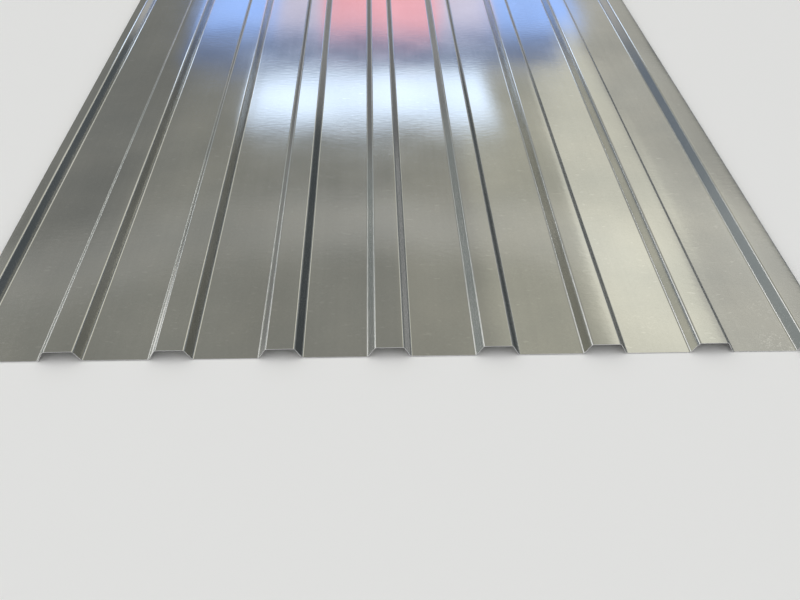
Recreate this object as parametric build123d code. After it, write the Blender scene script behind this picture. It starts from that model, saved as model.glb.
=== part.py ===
"""One roll-formed roofing sheet of galvanised steel, lying pans down on a level floor.

X runs across the ribs, Y along them and Z up. The origin is under the middle of the sheet.
The ribs are trapezoids with flat pans between them. The left edge is the under-lap: its rib is
cut off part of the way over the crest. The right edge is the over-lap: its rib is whole, with a
short lip that comes down over the neighbouring sheet.
"""
from build123d import *
from math import atan2, cos, sin, tan
import os

# Driving dimensions, in millimetres
sheet_length = 2000.0
gauge = 0.5
rib_pitch = 110.0
rib_count = 9
rib_height = 12.0        # from the top of a pan to the top of a crest
crest_width = 29.0       # flat top of a rib, from bend to bend
side_run = 7.2           # how far one side of a rib spreads between its crest and its foot
bend_radius = 2.5        # on the inside of every bend
underlap_width = 12.5    # what the left edge keeps of its rib's crest
lip_length = 7.5         # measured down the slope of the lip, from the crest's bend

# Worked out from them
side_angle = atan2(rib_height, side_run)
first_rib = -rib_pitch * (rib_count - 1) / 2
last_rib = -first_rib


def rib_side(lift):
    """Sideways distances from a rib's middle to its crest bend and its foot bend.

    They are those of the sheet's underside, or of its top side when lift is the gauge.
    """
    crest = crest_width / 2 + lift * tan(side_angle / 2)
    return crest, crest + side_run


def whole_rib(middle, lift):
    """The four bend corners of one rib, from its left foot to its right foot."""
    crest, foot = rib_side(lift)
    return [
        (middle - foot, lift),
        (middle - crest, rib_height + lift),
        (middle + crest, rib_height + lift),
        (middle + foot, lift),
    ]


def underlap_rib(lift):
    """The left edge: a square cut in the crest, then the rib's right side only."""
    cut = first_rib + crest_width / 2 - underlap_width
    return [(cut, rib_height + lift)] + whole_rib(first_rib, lift)[2:]


def overlap_rib(lift):
    """The right edge: a whole crest, and a lip cut off square to its own slope."""
    crest_end = last_rib + crest_width / 2
    lip_end = (
        crest_end + lip_length * cos(side_angle) + lift * sin(side_angle),
        rib_height - lip_length * sin(side_angle) + lift * cos(side_angle),
    )
    return whole_rib(last_rib, lift)[:3] + [lip_end]


def section_line(lift):
    """One side of the sheet in section, with every bend rounded about the same centre."""
    corners = underlap_rib(lift)
    for rib in range(1, rib_count - 1):
        corners += whole_rib(first_rib + rib * rib_pitch, lift)
    corners += overlap_rib(lift)
    crest_radius = bend_radius + lift
    foot_radius = bend_radius + gauge - lift
    radii = [crest_radius if height > lift else foot_radius for _, height in corners[1:-1]]
    return FilletPolyline(*corners, radius=radii)


def sheet_section():
    """The closed section: both sides of the steel and its two cut edges."""
    underside = section_line(0)
    topside = section_line(gauge)
    underlap_cut = Line(underside @ 0, topside @ 0)
    overlap_cut = Line(underside @ 1, topside @ 1)
    return make_face([*underside.edges(), overlap_cut, *topside.edges(), underlap_cut])


def corrugated_sheet():
    """The section drawn out to the sheet's length, with the origin under its middle."""
    sheet = extrude(Plane.XZ * sheet_section(), amount=sheet_length)
    middle = sheet.bounding_box().center()
    sheet = Pos(-middle.X, -middle.Y, 0) * sheet
    sheet.label = "corrugated_sheet"
    return sheet


os.makedirs("parts", exist_ok=True)
sheet = corrugated_sheet()
export_step(sheet, "parts/corrugated_sheet.step")
print("coil width before rolling:", round(sheet.volume / gauge / sheet_length, 1), "mm")
print("overall width:", round(sheet.bounding_box().size.X, 1), "mm")
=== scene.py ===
"""A roll-formed sheet of galvanised roofing steel, lying pans down on a pale studio floor.

X runs across the ribs, Y along them and Z up, in metres. The two sides of the steel are drawn a
gauge apart and joined along its edges, with the faint waves that rolling leaves in thin sheet.
"""
from math import atan2, cos, radians, sin, tan

import bmesh
import bpy
from mathutils import Matrix, Vector, noise


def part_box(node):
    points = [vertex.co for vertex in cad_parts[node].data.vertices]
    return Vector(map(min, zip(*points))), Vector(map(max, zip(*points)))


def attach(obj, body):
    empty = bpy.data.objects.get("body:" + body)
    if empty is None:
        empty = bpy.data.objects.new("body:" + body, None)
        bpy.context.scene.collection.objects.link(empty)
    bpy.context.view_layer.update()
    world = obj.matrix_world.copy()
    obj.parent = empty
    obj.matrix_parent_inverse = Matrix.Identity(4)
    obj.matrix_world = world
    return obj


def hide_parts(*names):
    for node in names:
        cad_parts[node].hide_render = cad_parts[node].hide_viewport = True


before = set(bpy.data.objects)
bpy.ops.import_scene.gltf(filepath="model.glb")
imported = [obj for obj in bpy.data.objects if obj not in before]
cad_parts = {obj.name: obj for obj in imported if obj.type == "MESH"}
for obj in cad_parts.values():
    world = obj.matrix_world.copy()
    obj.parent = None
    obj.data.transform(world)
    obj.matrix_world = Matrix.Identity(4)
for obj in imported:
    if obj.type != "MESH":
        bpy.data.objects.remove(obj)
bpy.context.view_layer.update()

# The rolled section, in metres
GAUGE = 0.0005
RIB_PITCH = 0.110
RIB_COUNT = 9
CREST_WIDTH = 0.029       # flat top of a rib, from bend to bend
SIDE_RUN = 0.0072         # how far one side of a rib spreads between its crest and its foot
BEND_RADIUS = 0.0025      # on the inside of every bend
UNDERLAP_WIDTH = 0.0125   # what the left edge keeps of its rib's crest
LIP_LENGTH = 0.0075       # measured down the slope of the lip

# Read off the solid
low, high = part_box("corrugated_sheet")
SHEET_LENGTH = high.y - low.y
RIB_HEIGHT = high.z - low.z - GAUGE
SIDE_ANGLE = atan2(RIB_HEIGHT, SIDE_RUN)
FIRST_RIB = -RIB_PITCH * (RIB_COUNT - 1) / 2
UNDERLAP_CUT = FIRST_RIB + CREST_WIDTH / 2 - UNDERLAP_WIDTH

# How finely the strip is divided
BEND_STEPS = 6
PAN_STEPS = 8
CREST_STEPS = 4
LENGTH_STEPS = 100

# The waves of the thin steel: how long they are across and along, and how high
WAVES = [
    (0.12, 0.34, 0.0011),
    (0.05, 0.11, 0.00012),
]
WAVE_SPACING = 1e4        # sets the two kinds of wave apart in the noise, each by its height

# The zinc
ZINC_COOL = (0.575, 0.585, 0.58)
ZINC_WARM = (0.625, 0.615, 0.585)
ROUGHNESS = 0.085
RIPPLE_DEPTH = 0.00003

# Its patterns: how fine each is, as so many to a metre, the same all ways or by X, Y and Z
CRYSTALS = 420.0
CLOUDS = 11.0
PATCHES = 34.0
FLECKS = 520.0
DRIFTS = (9.0, 4.5, 9.0)
STREAKS = (160.0, 2.0, 160.0)
RIPPLE = (80.0, 170.0, 80.0)

# The levels between which a pattern turns from none to whole
TICK_LEVELS = (0.64, 0.74)
PATCH_LEVELS = (0.34, 0.62)
FLECK_LEVELS = (0.50, 0.68)
# The bends, told by how far up they face, get a painted highlight: their zinc is made lighter
BEND_SLOPES = (0.62, 0.96, 0.04)      # how far up a bend faces, from, to and how soft

# How much each one lightens or darkens the zinc
BASE_TONE = 0.93
CRYSTAL_TONE = 0.08
DRIFT_TONE = 0.34
CLOUD_TONE = 0.18
STREAK_TONE = 0.06
TICK_TONE = 0.10
FLECK_TONE = 0.32
# Painted highlight: how much lighter the bends are painted
BEND_HIGHLIGHT_TONE = 0.30

# How much they roughen it, and their shares of its relief
CLOUD_ROUGHNESS = 0.05
STREAK_ROUGHNESS = 0.012
FLECK_ROUGHNESS = 0.08
RIPPLE_RELIEF = 0.7
STREAK_RELIEF = 0.03
FLECK_RELIEF = 0.2
CRYSTAL_RELIEF = 0.03

# Where the flecks gather, in metres: by the near right corner and along the over-lap edge
CORNER_ACROSS = (0.365, 0.395)
CORNER_ALONG = (-0.965, -0.91)
EDGE_ACROSS = (0.42, 0.45)
EDGE_ALONG = (-0.60, 0.20)
EDGE_SHARE = 0.55
ELSEWHERE_SHARE = 0.12

# The sheared edges
SHEARED_DARK = (0.60, 0.60, 0.61)
SHEARED_BRIGHT = (0.86, 0.86, 0.87)
SHEARED_ROUGHNESS = (0.3, 0.2)        # at the least, and what the tears add
TEARS = (2500.0, 2500.0, 120.0)
TEAR_DEPTH = 0.00005
TEAR_STRENGTH = 0.6

# The floor
FLOOR_REACH = 200.0
FLOOR_COLOUR = (0.90, 0.90, 0.89)
FLOOR_ROUGHNESS = 0.7

# The studio, placed on a ceiling one unit up: p across the ribs and q along them. Two numbers say
# where a soft step starts and ends, and three say from where, to where and how soft.
LEAST_HEIGHT = 0.01
AHEAD = (0.3, 0.8)                    # q

CEILING = (0.35, 0.352, 0.318)
CEILING_FAR_LEFT = (0.27, 0.275, 0.26)
LEFT_PART = (-0.56, -0.40)            # p
LEFT_PART_FAR = (1.15, 1.50)          # q
RIGHT_HALF = (0.40, 0.44)             # p
RIGHT_HALF_FAR = (1.35, 1.75)         # q
RIGHT_HALF_DIMMING = 0.33
STRIP_SOFTNESS = 0.01
STRIP_GREEN = 0.99                    # share of green
ROOF_LIGHTS = [           # from p, to p, brightness, share of blue
    (0.06, 0.22, 0.42, 0.86),
    (0.22, 0.43, 0.57, 0.84),
    (0.43, 0.615, 1.12, 0.86),
    (0.615, 0.735, 0.74, 0.90),
    (0.735, 0.81, 0.75, 0.91),
]
BOW_CURVE = 0.45
BOW = (1.42, 1.50, 0.12)              # q, less what the curve takes
BOW_END = 0.55                        # p
BOW_END_SOFTNESS = 0.2
BOW_GROWTH = (-0.35, 0.10)            # p
BOW_LEAST = 0.08
BOW_GAIN = 0.07

SIDE_LIGHT = (1.50, 1.50, 1.50)
LINE_LIGHT = (3.20, 3.20, 3.20)
LEFT_WALL = (0.44, 0.45, 0.44)
LEFT_WALL_EDGE = (-1.2, -0.8)         # p
LONG_LIGHT = (-1.30, -0.80, 0.04)     # p
LONG_LIGHT_END = (1.45, 1.75)         # q

LEFT_LOW = (0.41, 0.445, 0.44)
LEFT_LOW_FAR = (0.21, 0.25, 0.31)
LEFT_LOW_DIMMING = (5.0, 11.0)        # q
LEFT_LOW_SLANTS = (-1.70, -0.56, 0.08)
LEFT_LOW_NEAR = (0.8, 1.2)            # q
FINE_LINE = (-2.55, -2.35, 0.03)      # p
FINE_LINE_NEAR = (1.5, 1.7)           # q
FINE_LINE_FAR = (3.9, 4.2)            # q

RIGHT_WALL = (0.115, 0.13, 0.14)
RIGHT_WALL_EDGE = (0.82, 0.85)        # p
RIGHT_LIGHT = (1.40, 1.70, 0.04)      # p
RIGHT_LIGHT_SHARE = 0.5
BACKDROP_FAR = (3.0, 3.3)             # q
BACKDROP_SLANT = (0.47, 0.52)

FAR_WALL = (0.24, 0.31, 0.50)
FAR_WALL_FOOT = (2.16, 2.22)          # q
FAR_WALL_SIDES = (-0.50, 0.50, 0.06)  # p
FAR_PANELS_FOOT = (2.38, 2.50)        # q
FAR_PANELS = [            # from p, to p, softness, colour
    (-0.50, 0.62, 0.06, (0.58, 0.90, 1.75)),
    (-0.26, 0.34, 0.06, (1.00, 0.95, 1.20)),
    (-0.10, 0.16, 0.08, (1.45, 0.70, 0.80)),
]
WINDOW = (1.55, 1.85, 2.30)
WINDOW_SIDES = (-0.28, 0.28, 0.05)    # p
WINDOW_NEAR = (1.78, 1.97)            # q
WINDOW_FAR = (2.10, 2.24)             # q

OVERHEAD = (1.28, 1.28, 1.28)
OVERHEAD_MIDDLE = (0.86, 0.86, 0.86)
OVERHEAD_STRIP = (-0.30, 0.30, 0.35)  # p
OVERHEAD_HEIGHT = (0.2, 0.7)          # height
BACKDROP = (0.68, 0.68, 0.67)
BACKDROP_TOP = (0.29, 0.295, 0.30)
BACKDROP_SHADE = (0.0, 0.2)           # height
BACKDROP_EDGE = (0.285, 0.34)         # height

# The camera, as it stood over the near end
EYE = Vector((-0.0246, -1.6237, 0.5964))
LENS = 38.25
SENSOR = 36.0
TILT = radians(39.87)     # below level
YAW = radians(2.21)       # towards the right
ROLL = radians(-0.72)


class Wire:
    """A shader socket that takes part in sums."""

    def __init__(self, finish, socket):
        self.finish = finish
        self.socket = socket

    def sum(self, operation, first, second):
        return self.finish.node("ShaderNodeMath", {"operation": operation}, {0: first, 1: second})

    def __add__(self, other):
        return self.sum("ADD", self, other)

    def __radd__(self, other):
        return self.sum("ADD", other, self)

    def __sub__(self, other):
        return self.sum("SUBTRACT", self, other)

    def __rsub__(self, other):
        return self.sum("SUBTRACT", other, self)

    def __mul__(self, other):
        return self.sum("MULTIPLY", self, other)

    def __rmul__(self, other):
        return self.sum("MULTIPLY", other, self)

    def __truediv__(self, other):
        return self.sum("DIVIDE", self, other)

    def __rtruediv__(self, other):
        return self.sum("DIVIDE", other, self)


class Finish:
    """The nodes of one material, or of the light around the sheet."""

    def __init__(self, owner):
        owner.use_nodes = True
        self.tree = owner.node_tree
        self.tree.nodes.clear()

    def node(self, kind, settings=None, inputs=None, output=0):
        """Adds a node: its settings first, then the values or wires of its sockets."""
        made = self.tree.nodes.new(kind)
        for name, value in (settings or {}).items():
            setattr(made, name, value)
        for name, value in (inputs or {}).items():
            if isinstance(value, Wire):
                self.tree.links.new(value.socket, made.inputs[name])
            else:
                made.inputs[name].default_value = value
        return Wire(self, made.outputs[output]) if len(made.outputs) else None

    def place(self, kind="Object"):
        return self.node("ShaderNodeTexCoord", output=kind)

    def axis(self, vector, name):
        return self.node("ShaderNodeSeparateXYZ", inputs={0: vector}, output=name)

    def stretched(self, vector, scale):
        return self.node("ShaderNodeMapping", inputs={"Vector": vector, "Scale": scale})

    def noise(self, vector, scale=1.0, detail=2.0):
        """A soft pattern from 0 to 1, as often over a half as under it."""
        return self.node(
            "ShaderNodeTexNoise", inputs={"Vector": vector, "Scale": scale, "Detail": detail}
        )

    def swing(self, pattern, amount):
        """What a pattern adds or takes away, by as much as half the amount."""
        return (pattern - 0.5) * amount

    def rise(self, value, start, end):
        """0 up to start, 1 from end on, and a soft step between them."""
        return self.node(
            "ShaderNodeMapRange",
            {"interpolation_type": "SMOOTHSTEP"},
            {"Value": value, "From Min": start, "From Max": end},
        )

    def fall(self, value, start, end):
        """1 up to start, 0 from end on, and a soft step between them."""
        return 1 - self.rise(value, start, end)

    def band(self, value, start, end, soft):
        """1 between start and end, with a soft edge on each side."""
        return self.rise(value, start - soft, start) * self.fall(value, end, end + soft)

    def blend(self, factor, first, second):
        """The first colour where the factor is 0 and the second where it is 1."""
        return self.node(
            "ShaderNodeMix",
            {"data_type": "RGBA"},
            {"Factor": factor, 6: colour_of(first), 7: colour_of(second)},
            output=2,
        )

    def scaled(self, colour, strength):
        """A colour times a number that varies."""
        return self.node(
            "ShaderNodeVectorMath", {"operation": "SCALE"}, {0: colour, "Scale": strength}
        )

    def surface(self, shader):
        self.node("ShaderNodeOutputMaterial", inputs={"Surface": shader})


def colour_of(value):
    return value if isinstance(value, Wire) else (*value, 1.0)


def rib_corners(middle, lift):
    """The four bend corners of one rib, from its left foot to its right foot.

    They are the underside's, or the top side's when lift is the gauge.
    """
    crest = CREST_WIDTH / 2 + lift * tan(SIDE_ANGLE / 2)
    foot = crest + SIDE_RUN
    return [
        (middle - foot, lift),
        (middle - crest, RIB_HEIGHT + lift),
        (middle + crest, RIB_HEIGHT + lift),
        (middle + foot, lift),
    ]


def section_corners(lift):
    """One side of the sheet in section, from the under-lap's cut to the end of the lip."""
    corners = [(UNDERLAP_CUT, RIB_HEIGHT + lift)] + rib_corners(FIRST_RIB, lift)[2:]
    for rib in range(1, RIB_COUNT - 1):
        corners += rib_corners(FIRST_RIB + rib * RIB_PITCH, lift)
    lip_end = (
        -FIRST_RIB + CREST_WIDTH / 2 + LIP_LENGTH * cos(SIDE_ANGLE) + lift * sin(SIDE_ANGLE),
        RIB_HEIGHT - LIP_LENGTH * sin(SIDE_ANGLE) + lift * cos(SIDE_ANGLE),
    )
    return corners + rib_corners(-FIRST_RIB, lift)[:3] + [lip_end]


def draw_section(side, lift):
    """A chain of edges at the near end, with its bends rounded and its flats divided."""
    shift = low.x - UNDERLAP_CUT
    points = [side.verts.new((across + shift, low.y, up)) for across, up in section_corners(lift)]
    for here, there in zip(points, points[1:]):
        side.edges.new((here, there))
    crest_bends = [bend for bend in points[1:-1] if bend.co.z > RIB_HEIGHT / 2]
    foot_bends = [bend for bend in points[1:-1] if bend.co.z < RIB_HEIGHT / 2]
    for bends, radius in (
        (crest_bends, BEND_RADIUS + lift),
        (foot_bends, BEND_RADIUS + GAUGE - lift),
    ):
        bmesh.ops.bevel(
            side,
            geom=bends,
            offset=radius * tan(SIDE_ANGLE / 2),
            offset_type="OFFSET",
            segments=BEND_STEPS,
            profile=0.5,
            affect="VERTICES",
            material=-1,
        )
    for shortest, longest, steps in (
        (CREST_WIDTH / 2, CREST_WIDTH, CREST_STEPS),
        (CREST_WIDTH, RIB_PITCH, PAN_STEPS),
    ):
        flats = [edge for edge in side.edges if shortest < edge.calc_length() < longest]
        bmesh.ops.subdivide_edges(side, edges=flats, cuts=steps - 1)


def draw_out(side):
    """Draws the section out to the sheet's length, one short step at a time."""
    step = Vector((0, SHEET_LENGTH / LENGTH_STEPS, 0))
    front = side.edges[:]
    for _ in range(LENGTH_STEPS):
        drawn = bmesh.ops.extrude_edge_only(side, edges=front)["geom"]
        moved = [part for part in drawn if isinstance(part, bmesh.types.BMVert)]
        bmesh.ops.translate(side, verts=moved, vec=step)
        ends = set(moved)
        front = [
            part
            for part in drawn
            if isinstance(part, bmesh.types.BMEdge) and ends.issuperset(part.verts)
        ]


def lift_waves(strip):
    """The soft waves of thin sheet, about a rib's pitch and half of it wide. They only lift it."""
    for vert in strip.verts:
        for across, along, height in WAVES:
            place = Vector((vert.co.x / across, vert.co.y / along, height * WAVE_SPACING))
            vert.co.z += height * (1 + noise.noise(place)) / 2


def sheet_mesh():
    """Both sides of the steel, a gauge apart, joined all round by its cut edges."""
    strip = bmesh.new()
    mesh = bpy.data.meshes.new("galvanised_sheet")
    for lift in (0, GAUGE):
        side = bmesh.new()
        draw_section(side, lift)
        draw_out(side)
        side.to_mesh(mesh)
        side.free()
        strip.from_mesh(mesh)
    rims = [edge for edge in strip.edges if edge.is_boundary]
    cuts = bmesh.ops.bridge_loops(strip, edges=rims)["faces"]
    lift_waves(strip)
    bmesh.ops.recalc_face_normals(strip, faces=strip.faces[:])
    for face in strip.faces:
        face.smooth = True
    for face in cuts:
        face.material_index = 1
    for edge in rims:
        edge.smooth = False
    strip.to_mesh(mesh)
    strip.free()
    return mesh


def fleck_places(zinc, place):
    """How thick the flecks lie: most by the near right corner, fewer along the over-lap edge."""
    across = zinc.axis(place, "X")
    along = zinc.axis(place, "Y")
    corner = zinc.rise(across, *CORNER_ACROSS) * zinc.fall(along, *CORNER_ALONG)
    edge = zinc.rise(across, *EDGE_ACROSS) * zinc.fall(along, *EDGE_ALONG)
    patches = zinc.rise(zinc.noise(place, PATCHES, detail=3.0), *PATCH_LEVELS)
    return patches * (corner + edge * EDGE_SHARE + ELSEWHERE_SHARE)


def galvanised_steel():
    """Bright zinc coat: faint crystals, clouds, roll streaks, a shallow cross-wise ripple and a
    painted highlight along the bends.
    """
    material = bpy.data.materials.new("galvanised steel")
    zinc = Finish(material)
    place = zinc.place()
    crystals = zinc.noise(place, CRYSTALS)
    drifts = zinc.noise(zinc.stretched(place, DRIFTS), detail=1.0)
    clouds = zinc.noise(place, CLOUDS)
    streaks = zinc.noise(zinc.stretched(place, STREAKS), detail=3.0)
    ripple = zinc.noise(zinc.stretched(place, RIPPLE))
    ticks = zinc.rise(ripple, *TICK_LEVELS)
    specks = zinc.rise(zinc.noise(place, FLECKS, detail=3.0), *FLECK_LEVELS)
    flecks = specks * fleck_places(zinc, place)
    # Painted highlight: the bends are picked by how far up they face and their zinc is lightened
    bend_highlight = zinc.band(zinc.axis(zinc.place("Normal"), "Z"), *BEND_SLOPES)
    tone = (
        BASE_TONE
        + zinc.swing(crystals, CRYSTAL_TONE)
        + zinc.swing(drifts, DRIFT_TONE)
        + zinc.swing(clouds, CLOUD_TONE)
        + zinc.swing(streaks, STREAK_TONE)
        + ticks * TICK_TONE
        + flecks * FLECK_TONE
        + bend_highlight * BEND_HIGHLIGHT_TONE
    )
    colour = zinc.scaled(zinc.blend(clouds, ZINC_COOL, ZINC_WARM), tone)
    roughness = (
        ROUGHNESS
        + zinc.swing(clouds, CLOUD_ROUGHNESS)
        + zinc.swing(streaks, STREAK_ROUGHNESS)
        + flecks * FLECK_ROUGHNESS
    )
    relief = (
        ripple * RIPPLE_RELIEF
        + streaks * STREAK_RELIEF
        + flecks * FLECK_RELIEF
        + crystals * CRYSTAL_RELIEF
    )
    normal = zinc.node(
        "ShaderNodeBump", inputs={"Strength": 1.0, "Distance": RIPPLE_DEPTH, "Height": relief}
    )
    zinc.surface(zinc.node(
        "ShaderNodeBsdfPrincipled",
        inputs={"Base Color": colour, "Metallic": 1.0, "Roughness": roughness, "Normal": normal},
    ))
    return material


def sheared_steel():
    """The cut edges: bare bright steel with the fine upright tears of the shear."""
    material = bpy.data.materials.new("sheared edge")
    steel = Finish(material)
    tears = steel.noise(steel.stretched(steel.place(), TEARS))
    colour = steel.blend(tears, SHEARED_DARK, SHEARED_BRIGHT)
    least, added = SHEARED_ROUGHNESS
    normal = steel.node(
        "ShaderNodeBump",
        inputs={"Strength": TEAR_STRENGTH, "Distance": TEAR_DEPTH, "Height": tears},
    )
    steel.surface(steel.node(
        "ShaderNodeBsdfPrincipled",
        inputs={
            "Base Color": colour,
            "Metallic": 1.0,
            "Roughness": tears * added + least,
            "Normal": normal,
        },
    ))
    return material


def add_object(name, mesh):
    made = bpy.data.objects.new(name, mesh)
    bpy.context.scene.collection.objects.link(made)
    return made


def galvanised_sheet():
    """The whole dressed sheet, in place of the plain solid."""
    sheet = add_object("galvanised_sheet", sheet_mesh())
    sheet.data.materials.append(galvanised_steel())
    sheet.data.materials.append(sheared_steel())
    even = sheet.modifiers.new("even shading", "WEIGHTED_NORMAL")
    even.keep_sharp = True
    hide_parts("corrugated_sheet")
    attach(sheet, "root")


def studio_floor():
    """A wide pale floor, level under the pans."""
    shape = bmesh.new()
    bmesh.ops.create_grid(shape, x_segments=1, y_segments=1, size=FLOOR_REACH)
    mesh = bpy.data.meshes.new("studio_floor")
    shape.to_mesh(mesh)
    shape.free()
    floor = add_object("studio_floor", mesh)
    material = bpy.data.materials.new("pale floor")
    paint = Finish(material)
    paint.surface(paint.node(
        "ShaderNodeBsdfPrincipled",
        inputs={"Base Color": (*FLOOR_COLOUR, 1.0), "Roughness": FLOOR_ROUGHNESS},
    ))
    mesh.materials.append(material)


def ceiling_light(sky, p, q):
    """A dim ceiling with strip lights parallel to the ribs, and a soft bow of glow across it."""
    light = CEILING
    for start, end, brightness, blue in ROOF_LIGHTS:
        tint = (brightness, brightness * STRIP_GREEN, brightness * blue)
        light = sky.blend(sky.band(p, start, end, STRIP_SOFTNESS), light, tint)
    far_right = sky.rise(q, *RIGHT_HALF_FAR) * sky.rise(p, *RIGHT_HALF)
    light = sky.blend(far_right * RIGHT_HALF_DIMMING, light, CEILING)
    far_left = sky.rise(q, *LEFT_PART_FAR) * sky.fall(p, *LEFT_PART)
    light = sky.blend(far_left, light, CEILING_FAR_LEFT)
    bow = sky.band(q + p * p * BOW_CURVE, *BOW)
    glow = bow * sky.rise(BOW_END - p, 0.0, BOW_END_SOFTNESS)
    return sky.blend(
        glow * (sky.rise(p, *BOW_GROWTH) * BOW_GAIN + BOW_LEAST), light, SIDE_LIGHT
    )


def left_side(sky, p, q, light):
    """A grey wall on the left, with one long light on it that stops short of the far end."""
    light = sky.blend(sky.fall(p, *LEFT_WALL_EDGE), light, LEFT_WALL)
    return sky.blend(
        sky.band(p, *LONG_LIGHT) * sky.fall(q, *LONG_LIGHT_END), light, SIDE_LIGHT
    )


def far_end(sky, p, q, light):
    """A dark wall beyond the far end, soft tinted panels over it and a window low in the middle."""
    wall = sky.rise(q, *FAR_WALL_FOOT) * sky.band(p, *FAR_WALL_SIDES)
    light = sky.blend(wall, light, FAR_WALL)
    for start, end, soft, colour in FAR_PANELS:
        panel = sky.rise(q, *FAR_PANELS_FOOT) * sky.band(p, start, end, soft)
        light = sky.blend(panel, light, colour)
    window = sky.rise(q, *WINDOW_NEAR) * sky.fall(q, *WINDOW_FAR) * sky.band(p, *WINDOW_SIDES)
    return sky.blend(window, light, WINDOW)


def low_left(sky, p, q, slant, height, light):
    """The foot of the left wall, darker and bluer far off, with a fine light along it."""
    wall = sky.blend(sky.rise(q, *LEFT_LOW_DIMMING), LEFT_LOW, LEFT_LOW_FAR)
    foot = sky.band(slant, *LEFT_LOW_SLANTS) * sky.fall(height, *BACKDROP_EDGE)
    light = sky.blend(foot * sky.rise(q, *LEFT_LOW_NEAR), light, wall)
    line = sky.band(p, *FINE_LINE) * sky.rise(q, *FINE_LINE_NEAR) * sky.fall(q, *FINE_LINE_FAR)
    return sky.blend(line, light, LINE_LIGHT)


def right_side(sky, p, q, slant, light):
    """A dark wall on the right as far as the backdrop, with one broad soft light."""
    backdrop = sky.rise(q, *BACKDROP_FAR) * sky.fall(slant, *BACKDROP_SLANT)
    wall = sky.blend(sky.band(p, *RIGHT_LIGHT) * RIGHT_LIGHT_SHARE, RIGHT_WALL, SIDE_LIGHT)
    in_front = sky.rise(p, *RIGHT_WALL_EDGE) * sky.rise(q, *AHEAD) * (1 - backdrop)
    return sky.blend(in_front, light, wall)


def studio_light():
    """Soft light all round the sheet, white overhead but for a dimmer strip down the middle.

    A direction is told by where it meets the ceiling one unit up. A flat pan shows that ceiling as
    a mirror on the floor would. Slant is how far a direction near the floor turns from straight
    along the ribs.
    """
    world = bpy.data.worlds.new("studio")
    bpy.context.scene.world = world
    sky = Finish(world)
    direction = sky.place("Generated")
    height = sky.axis(direction, "Z")
    up = sky.node("ShaderNodeMath", {"operation": "MAXIMUM"}, {0: height, 1: LEAST_HEIGHT})
    p = sky.axis(direction, "X") / up
    q = sky.axis(direction, "Y") / up
    slant = p / q

    far = far_end(sky, p, q, left_side(sky, p, q, ceiling_light(sky, p, q)))
    backdrop = sky.blend(sky.rise(height, *BACKDROP_SHADE), BACKDROP, BACKDROP_TOP)
    overhead = sky.blend(sky.band(p, *OVERHEAD_STRIP), OVERHEAD, OVERHEAD_MIDDLE)
    overhead = sky.blend(sky.rise(height, *OVERHEAD_HEIGHT), backdrop, overhead)
    light = sky.blend(sky.rise(q, *AHEAD), overhead, far)
    light = sky.blend(sky.fall(height, *BACKDROP_EDGE), light, backdrop)
    light = low_left(sky, p, q, slant, height, light)
    light = right_side(sky, p, q, slant, light)
    background = sky.node("ShaderNodeBackground", inputs={"Color": light, "Strength": 1.0})
    sky.node("ShaderNodeOutputWorld", inputs={"Surface": background})


def add_camera():
    """Looks down along the ribs from over the near end."""
    forward = Vector((sin(YAW) * cos(TILT), cos(YAW) * cos(TILT), -sin(TILT)))
    level_right = Vector((cos(YAW), -sin(YAW), 0))
    level_down = forward.cross(level_right)
    right = cos(ROLL) * level_right + sin(ROLL) * level_down
    down = cos(ROLL) * level_down - sin(ROLL) * level_right
    lens = bpy.data.cameras.new("camera")
    lens.lens = LENS
    lens.sensor_width = SENSOR
    camera = add_object("camera", lens)
    turn = Matrix((right, -down, -forward)).transposed()
    camera.matrix_world = Matrix.Translation(EYE) @ turn.to_4x4()
    bpy.context.scene.camera = camera


galvanised_sheet()
studio_floor()
studio_light()
add_camera()
bpy.context.scene.view_settings.view_transform = "Standard"
